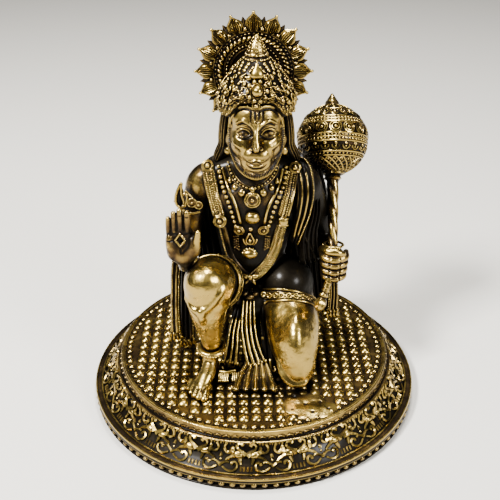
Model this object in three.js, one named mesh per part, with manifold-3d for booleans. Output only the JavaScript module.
// Cast brass figure of a kneeling, monkey-faced deity on a round stepped plinth.
// It raises one open hand and holds a round-headed mace in the other. A petalled halo stands behind it.
// Millimetres, +Z up, origin at the middle of the plinth's underside, figure facing -Y.
import * as THREE from 'three';
import { mergeVertices } from 'three/addons/utils/BufferGeometryUtils.js';
import Module from 'manifold-3d';

// Plinth
const PLINTH_HEIGHT = 11.45;
const FOOT_RADIUS = 44.0;
const RIM_RADIUS = 44.15;
const RIM_TOP_HEIGHT = 3.25;
const RIM_BAND_HEIGHT = 1.1;
const RIM_LIP_WIDTH = 1.95;
const BEAD_GROOVE_DEPTH = 0.85;
const LEDGE_RADIUS = 37.4;
const LEDGE_DROP = 2.24;
const PLATFORM_RADIUS = 36.5;
const PLATFORM_LIP_WIDTH = 1.1;
const PLATFORM_FLOOR_DROP = 0.35;
const FRIEZE_COVE_DEPTH = 0.9;
const FRIEZE_UNITS = 24;
const FRIEZE_RELIEF = 0.4;

// Figure, whose pose and proportions are hundredths of its own height
const FIGURE_HEIGHT = 85.5;

// Mace, measured along its own axis from the middle of the fist
const MACE_LEAN_DEG = 33;
const MACE_STUB_SWING_DEG = 24;
const MACE_HEAD_DIAMETER = 18.2;
const MACE_HEAD_DISTANCE = 33.1;
const MACE_SHAFT_TOP_DIAMETER = 3.3;
const MACE_SHAFT_GRIP_DIAMETER = 2.3;
const MACE_NECK_DIAMETER = 5.9;
const MACE_SPIKE_LENGTH = 3.4;
const MACE_SPIKE_DIAMETER = 3.0;
const MACE_BOSSES = 12;
const MACE_POMMEL_DIAMETER = 3.0;
const MACE_POMMEL_DISTANCE = 9.3;

// Halo
const HALO_RADIUS = 14.4;
const HALO_DISC_RADIUS = 9.9;
const HALO_HOOP_RADIUS = 8.9;
const HALO_HOOP_WIDTH = 1.5;
const HALO_THICKNESS = 1.5;
const HALO_PETALS = 16;

// Gap that neighbouring pieces keep
const CLEARANCE = 0.3;

const UP = new THREE.Vector3(0, 1, 0);
const FRONT = new THREE.Vector3(0, -1, 0);
const BACK = new THREE.Vector3(0, 1, 0);
const wasm = await Module();
wasm.setup();

// Shares of the figure's height, from the platform's top
const share = FIGURE_HEIGHT / 100;
const standing = PLINTH_HEIGHT + CLEARANCE;

function at(x, y, z) {
  return new THREE.Vector3(x * share, y * share, z * share + standing);
}

// Closed solid from a geometry: shared corners merged, empty triangles left out, faces turned outwards
function solid(geometry) {
  const bare = geometry.clone();
  bare.deleteAttribute('normal');
  bare.deleteAttribute('uv');
  const merged = mergeVertices(bare, 1e-4);
  const places = merged.attributes.position;
  const corners = [];
  let volume = 0;
  const [a, b, c] = [new THREE.Vector3(), new THREE.Vector3(), new THREE.Vector3()];
  for (let i = 0; i < merged.index.count; i += 3) {
    const [p, q, r] = [0, 1, 2].map((k) => merged.index.getX(i + k));
    if (p === q || q === r || r === p) continue;
    corners.push(p, q, r);
    a.fromBufferAttribute(places, p);
    b.fromBufferAttribute(places, q);
    c.fromBufferAttribute(places, r);
    volume += a.dot(b.cross(c));
  }
  if (volume < 0) corners.reverse();
  return new wasm.Manifold(new wasm.Mesh({
    numProp: 3,
    vertProperties: new Float32Array(places.array),
    triVerts: new Uint32Array(corners),
  }));
}

function join(parts) {
  return parts.reduce((whole, part) => whole.add(part));
}

// Vertices and triangles of a body without the closed bubbles that its joined parts may leave inside
function outerSkin(body) {
  const { vertProperties, triVerts } = body.getMesh();
  const owner = Array.from({ length: vertProperties.length / 3 }, (_, i) => i);
  const rootOf = (i) => {
    let root = i;
    while (owner[root] !== root) root = owner[root];
    owner[i] = root;
    return root;
  };
  for (let i = 0; i < triVerts.length; i += 3) {
    owner[rootOf(triVerts[i + 1])] = rootOf(triVerts[i]);
    owner[rootOf(triVerts[i + 2])] = rootOf(triVerts[i]);
  }
  const corner = (i) => new THREE.Vector3().fromArray(vertProperties, 3 * i);
  const volumes = new Map();
  for (let i = 0; i < triVerts.length; i += 3) {
    const root = rootOf(triVerts[i]);
    const piece = corner(triVerts[i]).dot(corner(triVerts[i + 1]).cross(corner(triVerts[i + 2])));
    volumes.set(root, (volumes.get(root) ?? 0) + piece);
  }
  const kept = Array.from(triVerts).filter((_, i) => volumes.get(rootOf(triVerts[i - (i % 3)])) > 0);
  return { vertProperties, kept };
}

function mesh(name, body, material) {
  const { vertProperties, kept } = outerSkin(body);
  const geometry = new THREE.BufferGeometry();
  geometry.setAttribute('position', new THREE.BufferAttribute(new Float32Array(vertProperties), 3));
  geometry.setIndex(new THREE.BufferAttribute(new Uint32Array(kept), 1));
  geometry.computeVertexNormals();
  const piece = new THREE.Mesh(geometry, material);
  piece.name = name;
  return piece;
}

function brass(color, roughness) {
  return new THREE.MeshStandardMaterial({ color, roughness, metalness: 1 });
}

// Turned piece about +Z; profile is [radius, height] pairs
function turned(profile, sides) {
  const points = profile.map(([radius, height]) => new THREE.Vector2(radius, height));
  return new THREE.LatheGeometry(points, sides).rotateX(Math.PI / 2);
}

// Turned piece between two points; profile is [radius, share of the way] pairs, closed to the axis at both
// ends, and flatten squeezes it along the direction flatAlong.
function limb(from, to, profile, sides = 10, flatten = 1, flatAlong = new THREE.Vector3(0, 1, 0)) {
  const axis = to.clone().sub(from);
  const length = axis.length();
  const ends = [[0, profile[0][1]], ...profile, [0, profile[profile.length - 1][1]]];
  const points = ends.map(([radius, along]) => new THREE.Vector2(radius * share, along * length));
  const geometry = new THREE.LatheGeometry(points, sides);
  const z = flatAlong.clone().addScaledVector(axis, -flatAlong.dot(axis) / axis.lengthSq()).normalize();
  const y = axis.clone().normalize();
  const x = y.clone().cross(z);
  geometry.scale(1, 1, flatten);
  geometry.applyMatrix4(new THREE.Matrix4().makeBasis(x, y, z).setPosition(from));
  return solid(geometry);
}

// Egg shape with its three half sizes in shares, turned by degrees about X then Z
function lump(centre, [rx, ry, rz], sides = 10, rings = 6, tiltX = 0, turnZ = 0) {
  const geometry = new THREE.SphereGeometry(share, sides, rings).rotateX(Math.PI / 2);
  geometry.scale(rx, ry, rz);
  geometry.rotateX(THREE.MathUtils.degToRad(tiltX)).rotateZ(THREE.MathUtils.degToRad(turnZ));
  return solid(geometry.translate(centre.x, centre.y, centre.z));
}

// Straight extrusion of a section bent along a smooth curve. The section's first axis runs across and its
// second outwards, towards facing; widthAt scales the first axis along the way.
function sweep(section, points, steps, facing, widthAt = () => 1) {
  const straight = { depth: 1, steps, bevelEnabled: false };
  const geometry = new THREE.ExtrudeGeometry(new THREE.Shape(section), straight);
  const curve = new THREE.CatmullRomCurve3(points);
  const places = geometry.attributes.position;
  const [place, tangent, across, outwards] = [0, 1, 2, 3].map(() => new THREE.Vector3());
  for (let i = 0; i < places.count; i += 1) {
    const along = places.getZ(i);
    curve.getPoint(along, place);
    curve.getTangent(along, tangent);
    across.crossVectors(tangent, facing).normalize();
    outwards.crossVectors(across, tangent);
    place.addScaledVector(across, places.getX(i) * widthAt(along) * share);
    place.addScaledVector(outwards, places.getY(i) * share);
    places.setXYZ(i, place.x, place.y, place.z);
  }
  return solid(geometry);
}

// Regular polygon, flattened if its second half size is smaller
function polygon(sides, halfWidth, halfDepth = halfWidth) {
  return Array.from({ length: sides }, (_, i) => {
    const turn = (i + 0.5) * 2 * Math.PI / sides;
    return new THREE.Vector2(halfWidth * Math.cos(turn), halfDepth * Math.sin(turn));
  });
}

// Section of pleated cloth: flat behind, with ridges in front
function pleats(count, pitch, ridge, thickness) {
  const half = count * pitch / 2;
  const section = [new THREE.Vector2(half, -thickness), new THREE.Vector2(half, 0)];
  for (let i = count - 1; i >= 0; i -= 1) {
    section.push(new THREE.Vector2((i + 0.5) * pitch - half, ridge));
    section.push(new THREE.Vector2(i * pitch - half, i === 0 ? 0 : ridge * 0.15));
  }
  section.push(new THREE.Vector2(-half, -thickness));
  return section;
}

function cord(points, radius, steps, facing = FRONT, sides = 5) {
  return sweep(polygon(sides, radius), points, steps, facing);
}

// Flat ring round a limb: a band of the given radius, height and swell, square to the axis
function bangle(centre, axis, radius, height, swell = 0.6, sides = 12) {
  const half = axis.clone().normalize().multiplyScalar(height * share / 2);
  const profile = [[radius, 0], [radius + swell, 0.5], [radius, 1]];
  return limb(centre.clone().sub(half), centre.clone().add(half), profile, sides);
}

// Plinth: foot, beaded rim, coved frieze, ledge and platform with a raised lip
function buildPlinth() {
  const ledge = PLINTH_HEIGHT - LEDGE_DROP;
  const floor = PLINTH_HEIGHT - PLATFORM_FLOOR_DROP;
  const friezeOuter = RIM_RADIUS - RIM_LIP_WIDTH;
  const bandFoot = RIM_TOP_HEIGHT - RIM_BAND_HEIGHT;
  const friezeAt = (way) => [
    THREE.MathUtils.lerp(friezeOuter, LEDGE_RADIUS, way) - FRIEZE_COVE_DEPTH * Math.sin(Math.PI * way),
    THREE.MathUtils.lerp(RIM_TOP_HEIGHT, ledge, way),
  ];
  const [lowFrieze, highFrieze] = [0.34, 0.7].map(friezeAt);
  const geometry = turned([
    [0, 0],
    [FOOT_RADIUS, 0],
    [FOOT_RADIUS - BEAD_GROOVE_DEPTH, bandFoot / 2],
    [RIM_RADIUS, bandFoot],
    [RIM_RADIUS, RIM_TOP_HEIGHT],
    [friezeOuter, RIM_TOP_HEIGHT],
    lowFrieze,
    highFrieze,
    [LEDGE_RADIUS, ledge],
    [PLATFORM_RADIUS, ledge],
    [PLATFORM_RADIUS, PLINTH_HEIGHT],
    [PLATFORM_RADIUS - PLATFORM_LIP_WIDTH, PLINTH_HEIGHT],
    [PLATFORM_RADIUS - PLATFORM_LIP_WIDTH, floor],
    [0, floor],
  ], 2 * FRIEZE_UNITS);

  // Frieze relief: each unit swells out at its pair of beasts and sinks at the gap to the next
  const places = geometry.attributes.position;
  for (let i = 0; i < places.count; i += 1) {
    const [x, y, z] = [places.getX(i), places.getY(i), places.getZ(i)];
    const onFrieze = z > RIM_TOP_HEIGHT + 0.01 && z < ledge - 0.01;
    if (!onFrieze) continue;
    const column = Math.round(Math.atan2(y, x) / Math.PI * FRIEZE_UNITS);
    const swell = column % 2 === 0 ? -FRIEZE_RELIEF : FRIEZE_RELIEF;
    const stretch = 1 + swell / Math.hypot(x, y);
    places.setXY(i, x * stretch, y * stretch);
  }
  return solid(geometry);
}

// Leg bent up in front, with its foot flat on the platform; it is the figure's right leg
function raisedLeg() {
  const hip = at(-7, 9.5, 19.5);
  const knee = at(-12.6, -15.5, 32.5);
  const ankle = at(-13.5, -17, 8);
  const parts = [
    limb(hip, knee, [[8.8, 0], [8.1, 0.8], [6.9, 1.02], [3.6, 1.2]], 9),
    limb(ankle, knee, [[2.4, -0.12], [3, 0.15], [6.4, 0.65], [7.4, 0.95]], 7),
    bangle(at(-13.5, -16.9, 9.4), knee.clone().sub(ankle), 3.1, 2, 0.8, 6),
    lump(at(-13.4, -17.2, 2.6), [3.2, 5.6, 4], 5, 4),
    lump(at(-14.6, -21.8, 1.6), [3.7, 5.4, 2], 6, 3),
    // Hem of the cloth just under the knee
    cord([at(-19, -13, 28), at(-15.5, -22, 25.5), at(-9.5, -21.4, 25.5), at(-5, -13, 30)], 0.9, 4, FRONT, 4),
  ];
  const toes = 5;
  for (let toe = 0; toe < toes; toe += 1) {
    const x = toe === 0 ? -12 : -12.6 - toe * 1.35;
    const y = -28.2 + toe * toe * 0.3;
    const radius = toe === 0 ? 1.3 : 0.8;
    parts.push(limb(at(x - 0.2, y + 5, 1.6), at(x, y, 1), [[radius, 0], [radius, 1]], 4));
  }
  return parts;
}

// Leg folded under, resting on its knee and toes; it is the figure's left leg
function kneelingLeg() {
  const hip = at(8, 8, 17);
  const knee = at(13, -14.5, 8.2);
  const along = knee.clone().sub(hip);
  return [
    limb(hip, knee, [[8.4, -0.15], [8, 0.85], [6.9, 1.12], [3.6, 1.3]], 9),
    limb(at(12.9, -11, 5), at(9.5, 21, 5.5), [[4.9, 0.2], [2.6, 1]], 6),
    lump(at(9.5, 22.4, 4.2), [2.9, 3.4, 5], 6, 4),
    // Two plain lines with a beaded band between them form the hem across the thigh
    limb(hip.clone().addScaledVector(along, 0.42), hip.clone().addScaledVector(along, 0.62),
      [[8.9, 0], [8.5, 0.3], [9.1, 0.6], [8.6, 1]], 9),
  ];
}

// Hips, belly, chest and neck, with the folds of the loincloth over the lap
function trunk() {
  const torso = [[10, 0.1], [9.8, 0.36], [13, 0.75], [12.4, 0.9], [7, 1]];
  const parts = [
    lump(at(0, 10, 14.5), [13, 10.5, 9.5], 7, 5),
    limb(at(-0.2, 8, 12), at(0.2, 2.6, 61), torso, 9, 0.74),
    limb(at(0.4, 3.4, 59), at(0.7, 1.5, 66), [[5.2, 0], [4.5, 1]], 5),
    bangle(at(0, 6.6, 26.5), new THREE.Vector3(0, -0.1, 1), 9.6, 2.4, 1, 7),
  ];
  const lap = [at(-2, -3.4, 21.5), at(6, -4.4, 22.6), at(13, -1.6, 22), at(17.6, 6, 18)];
  parts.push(sweep(pleats(3, 4, 1.2, 3), lap, 4, new THREE.Vector3(0, -0.75, 0.65)));
  return parts;
}

// Open right hand: palm to the front, four fingers and the thumb
function openHand(wrist) {
  const palm = wrist.clone().add(new THREE.Vector3(-0.9, -2.3, 5.6).multiplyScalar(share));
  const parts = [lump(palm, [4.3, 2.2, 6.6], 6, 4)];
  const palmMiddle = -19.8;
  const spread = 0.16;
  const fingers = [[-23.1, 4.4, 0.95], [-20.9, 6.2, 1], [-18.7, 6.8, 1], [-16.6, 5.4, 0.95]];
  for (const [x, length, radius] of fingers) {
    const tip = at(x + (x - palmMiddle) * spread, -14.4, 47.4 + length);
    parts.push(limb(at(x, -15, 46.5), tip, [[radius, 0], [radius * 0.8, 1]], 4));
  }
  parts.push(limb(at(-16.4, -15.4, 40.2), at(-15, -16.8, 48.6), [[1.6, 0], [1, 1]], 4));
  return parts;
}

// Upper arm and forearm raising the open hand; it is the figure's right arm
function blessingArm() {
  const shoulder = at(-15.4, 3.6, 55);
  const elbow = at(-20.4, 2, 33);
  const wrist = at(-18.9, -12.6, 37);
  const upper = elbow.clone().sub(shoulder);
  return [
    lump(shoulder, [5.2, 5, 4.8], 8, 5),
    limb(shoulder, elbow, [[4.6, 0.1], [3.6, 1.05]], 7),
    limb(elbow, wrist, [[3.6, -0.12], [2.5, 1.08]], 7),
    bangle(shoulder.clone().addScaledVector(upper, 0.36), upper, 4.4, 3, 0.9, 6),
    bangle(wrist, wrist.clone().sub(elbow), 2.7, 2.2, 0.8, 6),
    // Peaked leaf standing on the armlet
    limb(at(-20, 0.4, 50), at(-21.8, -0.4, 57.6), [[2, 0], [0.3, 1]], 4, 0.5),
    ...openHand(wrist),
  ];
}

// Arm whose fist holds the mace; it is the figure's left arm
function maceArm(fist) {
  const shoulder = at(14.8, 3.6, 55);
  const elbow = at(22.2, 9.4, 34.5);
  const parts = [
    limb(shoulder, elbow, [[3, -0.18], [4.6, 0], [3.4, 0.45], [3.4, 1.05]], 7),
    limb(elbow, fist, [[3.7, -0.12], [2.6, 1]], 7),
    lump(fist, [4, 4.2, 4.6], 8, 5),
    bangle(fist.clone().lerp(elbow, 0.42), elbow.clone().sub(fist), 3.3, 2.4, 0.9, 6),
  ];
  const fingers = 4;
  const fingerPitch = 2.15;
  const finger = [[0.7, 0], [1.05, 0.5], [0.7, 1]];
  const onFist = (x, z) => fist.clone().add(new THREE.Vector3(x, -2.6, z).multiplyScalar(share));
  for (let i = 0; i < fingers; i += 1) {
    const height = 3.2 - i * fingerPitch;
    const reach = 3.9 - Math.abs(i - 1) * 0.45;
    parts.push(limb(onFist(i * 0.9 - reach, height), onFist(reach, height), finger, 4));
  }
  return parts;
}

// Head, muzzle, beard fringe, ears and hair under the crown
function head() {
  const brows = [at(-5, -4, 78.6), at(-2.4, -7.4, 79.4), at(0.8, -7, 77.8), at(4, -7.4, 79.4),
    at(6.6, -4, 78.6)];
  const beard = [at(-6.4, -0.6, 74), at(-5.6, -3, 66.6), at(-2.6, -6, 62.4), at(0.8, -7.2, 61.4),
    at(4.2, -6, 62.4), at(7.2, -3, 66.6), at(8, -0.6, 74)];
  const parts = [
    lump(at(0.8, 0.6, 72), [7.6, 8.6, 10.4], 9, 6),
    lump(at(0.8, -5.8, 68), [4.4, 3.4, 4.6], 8, 5, -8),
    limb(at(0.8, -7.6, 78), at(0.8, -9.3, 70.6), [[0.7, 0], [1.5, 0.9], [0.8, 1.1]], 5),
    cord(brows, 0.9, 4, FRONT, 4),
    // Lips under the muzzle and the fringe of beard along the jaw
    limb(at(-2, -7.6, 67.6), at(3.6, -7.6, 67.6), [[0.4, 0], [0.9, 0.5], [0.4, 1]], 4),
    cord(beard, 1.3, 6, FRONT, 4),
    // Hair down to the shoulders
    lump(at(0.8, 4.6, 67), [12, 5, 12], 7, 5),
  ];
  for (const side of [-1, 1]) {
    parts.push(lump(at(0.8 + side * 3.2, -6.5, 75.7), [1.8, 1, 0.9], 4, 3));
    parts.push(lump(at(0.8 + side * 7.9, 0, 69.4), [1.5, 1.8, 4], 4, 4));
  }
  return parts;
}

// Tall crown: brow band, leafed dome and a ringed finial
function crown() {
  const [middleX, middleY] = [0.85, 1.4];
  const foot = at(middleX, middleY, 0);
  const profile = [[0, 79.4], [9.2, 79.8], [9.2, 82.6], [10.3, 86.4], [8.8, 89.4], [4.4, 92],
    [2.8, 93.8], [3.3, 94.8], [2.2, 95.8], [2.4, 97], [0, 100]];
  const geometry = turned(profile.map(([radius, height]) => [radius * share, height * share + standing]), 10);
  const parts = [solid(geometry.translate(foot.x, foot.y, 0))];
  const leaves = 7;
  const leafPitch = 0.5;
  for (let leaf = 0; leaf < leaves; leaf += 1) {
    const turn = (leaf - (leaves - 1) / 2) * leafPitch;
    const front = leaf === (leaves - 1) / 2;
    const height = front ? 11.2 : 7.4 - Math.abs(turn) * 0.8;
    const [halfWidth, drawnIn] = front ? [3.4, 1.9] : [2.4, 0.2];
    const direction = new THREE.Vector3(Math.sin(turn), -Math.cos(turn), 0);
    const base = at(middleX, middleY, 81).addScaledVector(direction, 9.4 * share);
    const tip = base.clone().addScaledVector(direction, -drawnIn * share);
    tip.z += height * share;
    parts.push(limb(base, tip, [[halfWidth, 0.1], [0.4, 1]], 4, 0.5, direction));
  }
  // Front jewel
  parts.push(lump(at(1.1, -8.6, 88.4), [2, 1.8, 2], 6, 3));
  return parts;
}

// Garland of two bands from the shoulders to a bow in front of the belly, necklaces and pendants
function jewellery() {
  const garland = [
    at(-13.4, 2, 60.6), at(-12.2, -2.2, 58.6), at(-10.2, -4.8, 53.6), at(-9.1, -5.6, 46), at(-8.2, -5.8, 38),
    at(-5.6, -5.9, 32.8), at(-1.1, -6, 28.6), at(3.7, -5.9, 32.4), at(7.5, -5.8, 39.6), at(8.6, -5.6, 46),
    at(10.7, -4.8, 54.6), at(12.6, -2.2, 58.8), at(13.6, 2, 60.6),
  ];
  const pearls = [at(-9.6, 1.4, 61), at(-8.4, -3.6, 57.4), at(-6.8, -5.2, 52), at(-4.4, -6, 47.6),
    at(-0.4, -6.4, 46.4), at(4, -6, 47.8), at(7.4, -5.2, 53), at(9.4, -3.6, 57.6), at(10.2, 1.4, 61)];
  const collar = [at(-6.6, -0.4, 62), at(-4.6, -3.8, 58.4), at(-0.3, -5.6, 55.6), at(4.4, -3.8, 58.6),
    at(7, -0.4, 62)];
  const parts = [
    sweep(polygon(5, 1.8, 1.2), garland, 10, FRONT),
    cord(pearls, 0.9, 8, FRONT, 4),
    cord(collar, 0.9, 4, FRONT, 4),
  ];
  // Shoulder knots, medallions and the loops of the bow
  for (const side of [-1, 1]) {
    parts.push(lump(at(side * 12 - 0.6, -1.4, 60.6), [2.1, 2, 2.1], 6, 3));
    parts.push(lump(at(side * 9 - 0.4, -6.2, 47.4), [2.4, 1.8, 2.4], 6, 3));
    parts.push(lump(at(side * 2.4 - 1.1, -6.4, 28.8), [2.4, 1.6, 1.8], 5, 3));
  }
  // Disc, dome, drop and tassel, one below the other
  const hanging = [
    [-0.1, 54.2, 2.2, 2.1],
    [-0.4, 49.4, 2.5, 2.4],
    [-0.7, 42, 1.9, 2.4],
    [-0.7, 38, 2.6, 1.6],
  ];
  for (const [x, z, halfWidth, halfHeight] of hanging) {
    parts.push(lump(at(x, -5, z), [halfWidth, 3, halfHeight], 6, 3));
  }
  return parts;
}

// Knotted sash that falls between the thighs, is tied, and spreads in a fan on the platform
function sash() {
  const section = pleats(3, 2.3, 1.2, 1.4);
  const tie = 0.68;
  const [topWidth, tieWidth, fanWidth] = [1, 0.45, 2];
  const widthAt = (along) => (along < tie
    ? THREE.MathUtils.lerp(topWidth, tieWidth, along / tie)
    : THREE.MathUtils.lerp(tieWidth, fanWidth, (along - tie) / (1 - tie)));
  const fall = [at(-1, -4.4, 23.6), at(-1.5, -8.6, 16.6), at(-1, -13.4, 10.4), at(-0.6, -16.8, 6.2),
    at(0.3, -20.6, 2.4), at(0.5, -25, 1)];
  return [
    lump(at(-1, -5.8, 23.6), [3.2, 2.2, 2.6], 6, 4),
    sweep(section, fall, 6, new THREE.Vector3(0, -0.8, 0.6), widthAt),
    bangle(at(-0.6, -16.6, 6.6), new THREE.Vector3(0.05, -0.75, -0.65), 2.6, 2.2, 0.6, 6),
    // Second end, hanging beside the shin in a fringe
    limb(at(-4, -9, 19), at(-8.6, -17.8, 5), [[1.8, 0], [1.4, 1]], 4),
    limb(at(-8.5, -17.6, 5.6), at(-9.2, -21.6, 1.1), [[1.4, 0], [2.1, 0.9]], 5),
  ];
}

// Shawl: folds over both shoulders, a sheet down the back, and an end hanging at each side
function shawl() {
  const overLeft = [at(12, 5.4, 60), at(14.4, 0.4, 59.6), at(15.4, -3, 52), at(14.4, -3.2, 43),
    at(13.4, -1.4, 34)];
  const overRight = [at(-11, 6, 60), at(-12.6, 0.6, 59.6), at(-13.6, -1.6, 52), at(-13.2, -1.2, 41),
    at(-12.6, 1, 29)];
  const downBack = [at(0.4, 7.4, 63), at(0.4, 11.4, 54), at(0, 15, 34), at(0, 18.4, 15), at(0, 21.4, 1)];
  const hangingEnd = [at(-21.6, 3.4, 34.5), at(-24, -0.8, 29), at(-24.6, -4.2, 17), at(-24.6, -7, 6.4)];
  return [
    sweep(pleats(3, 2.5, 1.2, 1.6), overLeft, 5, new THREE.Vector3(0.5, -1, 0.1)),
    sweep(pleats(2, 2.4, 1.1, 1.6), overRight, 5, new THREE.Vector3(-0.4, -1, 0.1)),
    sweep(pleats(5, 5, 1.6, 5), downBack, 4, BACK, (along) => THREE.MathUtils.lerp(0.8, 1.12, along)),
    sweep(pleats(2, 1.7, 1, 1), hangingEnd, 4, FRONT),
    cord([at(-20, 4, 33), at(-21.6, 0, 24), at(-21.6, -2, 11.4), at(-21, -2.8, 2.6)], 1.5, 4, FRONT, 4),
    cord([at(22.4, 9, 33), at(24.8, 4.6, 26), at(25.2, 1.6, 18), at(24.8, 0.2, 12)], 1.7, 4, FRONT, 4),
  ];
}

// Axis of the mace: the middle of the fist, the way up to the head and the way down to the pommel
const fistCentre = at(24.1, -4.7, 31.2);
const lean = THREE.MathUtils.degToRad(MACE_LEAN_DEG);
const stubSwing = THREE.MathUtils.degToRad(MACE_STUB_SWING_DEG);
const towardsHead = new THREE.Vector3(0, Math.sin(lean), Math.cos(lean));
const towardsPommel = towardsHead.clone().negate().applyAxisAngle(new THREE.Vector3(0, 1, 0), stubSwing);
const shaftRadiusAt = (distance) => THREE.MathUtils.lerp(MACE_SHAFT_GRIP_DIAMETER, MACE_SHAFT_TOP_DIAMETER,
  THREE.MathUtils.clamp(distance / (MACE_HEAD_DISTANCE - MACE_HEAD_DIAMETER / 2), 0, 1)) / 2;

// Turned piece whose own axis is laid from the middle of the fist along a direction
function onShaft(profile, direction, sides) {
  const points = profile.map(([radius, along]) => new THREE.Vector2(radius, along));
  const geometry = new THREE.LatheGeometry(points, sides);
  geometry.applyQuaternion(new THREE.Quaternion().setFromUnitVectors(UP, direction));
  return solid(geometry.translate(fistCentre.x, fistCentre.y, fistCentre.z));
}

// Mace: tapered shaft, neck ring, round head with a band of bosses, spike, and a pommel below the fist
function buildMace() {
  const headRadius = MACE_HEAD_DIAMETER / 2;
  const neckTop = MACE_HEAD_DISTANCE - headRadius * 0.93;
  const neckRadius = MACE_NECK_DIAMETER / 2;
  const topOfHead = MACE_HEAD_DISTANCE + headRadius * 0.97;
  const grip = shaftRadiusAt(0);
  const profile = [
    [0, -grip],
    [grip, -grip],
    [shaftRadiusAt(neckTop), neckTop - neckRadius],
    [neckRadius * 0.85, neckTop - neckRadius * 0.8],
    [neckRadius, neckTop - neckRadius * 0.4],
    [neckRadius * 0.85, neckTop],
  ];
  const arcs = 7;
  for (let i = 0; i < arcs; i += 1) {
    const turn = THREE.MathUtils.lerp(0.44, Math.PI - 0.22, i / (arcs - 1));
    profile.push([headRadius * Math.sin(turn), MACE_HEAD_DISTANCE - headRadius * Math.cos(turn)]);
  }
  profile.push(
    [MACE_SPIKE_DIAMETER / 2, topOfHead + MACE_SPIKE_LENGTH * 0.1],
    [MACE_SPIKE_DIAMETER / 3, topOfHead + MACE_SPIKE_LENGTH * 0.4],
    [0, topOfHead + MACE_SPIKE_LENGTH],
  );
  const parts = [onShaft(profile, towardsHead, MACE_BOSSES)];

  // Bosses round the widest part
  const across = new THREE.Vector3(1, 0, 0).addScaledVector(towardsHead, -towardsHead.x).normalize();
  const forward = towardsHead.clone().cross(across);
  const middle = fistCentre.clone().addScaledVector(towardsHead, MACE_HEAD_DISTANCE + headRadius * 0.16);
  const bossRadius = Math.PI * headRadius / MACE_BOSSES * 0.82;
  for (let i = 0; i < MACE_BOSSES; i += 1) {
    const turn = i * 2 * Math.PI / MACE_BOSSES;
    const outward = across.clone().multiplyScalar(Math.cos(turn)).addScaledVector(forward, Math.sin(turn));
    const boss = new THREE.ConeGeometry(bossRadius, bossRadius, 4);
    boss.applyQuaternion(new THREE.Quaternion().setFromUnitVectors(UP, outward));
    const seat = middle.clone().addScaledVector(outward, headRadius * 0.96);
    parts.push(solid(boss.translate(seat.x, seat.y, seat.z)));
  }

  // Stub of the shaft below the fist, with the pommel on its end
  const pommelRadius = MACE_POMMEL_DIAMETER / 2;
  parts.push(onShaft([
    [0, -grip],
    [grip, -grip],
    [grip * 0.8, MACE_POMMEL_DISTANCE - pommelRadius],
    [pommelRadius, MACE_POMMEL_DISTANCE - pommelRadius * 0.5],
    [pommelRadius, MACE_POMMEL_DISTANCE + pommelRadius * 0.4],
    [pommelRadius * 0.4, MACE_POMMEL_DISTANCE + pommelRadius],
    [0, MACE_POMMEL_DISTANCE + pommelRadius],
  ], towardsPommel, 8));
  return join(parts);
}

// Passage through the fist for the shaft and pommel, wider than them by the clearance
function shaftPassage() {
  const grip = shaftRadiusAt(0) + CLEARANCE;
  const reach = 12 * share;
  const bore = shaftRadiusAt(reach) + CLEARANCE;
  const pommelRadius = MACE_POMMEL_DIAMETER / 2 + CLEARANCE;
  const upper = onShaft([[0, -grip], [grip, -grip], [bore, reach], [0, reach]], towardsHead, 10);
  const lower = onShaft([
    [0, -grip],
    [grip, -grip],
    [grip, MACE_POMMEL_DISTANCE - 2 * pommelRadius],
    [pommelRadius, MACE_POMMEL_DISTANCE - pommelRadius],
    [pommelRadius, MACE_POMMEL_DISTANCE + pommelRadius],
    [0, MACE_POMMEL_DISTANCE + pommelRadius],
  ], towardsPommel, 10);
  return upper.add(lower);
}

// Halo: disc with a hoop on its rim, ringed by pointed petals; it stands upright behind the crown
const haloCentre = at(0.1, 9.4, 88.5);

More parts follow.
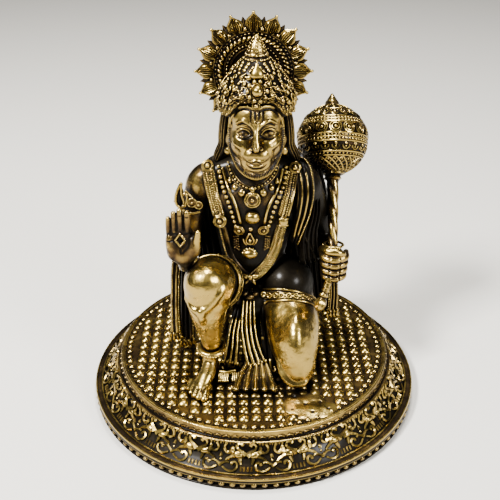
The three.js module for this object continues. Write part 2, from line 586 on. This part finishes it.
function buildHalo() {
  const facing = (geometry) => {
    geometry.rotateX(Math.PI / 2);
    return solid(geometry.translate(haloCentre.x, haloCentre.y + CLEARANCE, haloCentre.z));
  };
  // Outline of the petals: a valley, two swelling sides and a tip for each
  const outline = [];
  const pitch = 2 * Math.PI / HALO_PETALS;
  const reach = HALO_RADIUS - HALO_DISC_RADIUS;
  for (let petal = 0; petal < HALO_PETALS; petal += 1) {
    for (const [turn, rise] of [[-0.5, 0], [-0.4, 0.45], [0, 1], [0.4, 0.45]]) {
      const angle = (petal + turn) * pitch + Math.PI / 2;
      const distance = HALO_DISC_RADIUS + reach * rise;
      outline.push(new THREE.Vector2(distance * Math.cos(angle), distance * Math.sin(angle)));
    }
  }
  const back = -HALO_THICKNESS;
  const plateSize = { depth: HALO_THICKNESS * 0.7, bevelEnabled: false };
  const plate = new THREE.ExtrudeGeometry(new THREE.Shape(outline), plateSize);
  plate.translate(0, 0, back);
  const half = HALO_HOOP_WIDTH / 2;
  const hoop = turned([
    [HALO_HOOP_RADIUS - half, back * 0.6],
    [HALO_HOOP_RADIUS, 0],
    [HALO_HOOP_RADIUS + half, back * 0.6],
    [HALO_HOOP_RADIUS - half, back * 0.6],
  ], 20);
  return facing(plate).add(facing(hoop));
}

function buildFigure() {
  const whole = join([
    ...trunk(),
    ...raisedLeg(),
    ...kneelingLeg(),
    ...blessingArm(),
    ...maceArm(fistCentre),
    ...head(),
    ...crown(),
    ...jewellery(),
    ...sash(),
    ...shawl(),
  ]);
  // Flat soles, and a flat seat for the halo at the back of the crown
  const below = new THREE.BoxGeometry(3 * FIGURE_HEIGHT, 3 * FIGURE_HEIGHT, FIGURE_HEIGHT);
  below.translate(0, 0, standing - FIGURE_HEIGHT / 2);
  const [slotWidth, slotDepth, slotHeight] = [40, 20, 60].map((size) => size * share);
  const behindCrown = new THREE.BoxGeometry(slotWidth, slotDepth, slotHeight);
  const slotFoot = haloCentre.z - HALO_RADIUS - CLEARANCE;
  behindCrown.translate(0, haloCentre.y + slotDepth / 2, slotFoot + slotHeight / 2);
  return whole.subtract(solid(below)).subtract(solid(behindCrown)).subtract(shaftPassage());
}

const group = new THREE.Group();
group.add(mesh('plinth', buildPlinth(), brass(0x8c6f38, 0.42)));
group.add(mesh('figure', buildFigure(), brass(0xb08d45, 0.36)));
group.add(mesh('mace', buildMace(), brass(0xb8944c, 0.34)));
group.add(mesh('halo', buildHalo(), brass(0xa88540, 0.38)));

export default group;
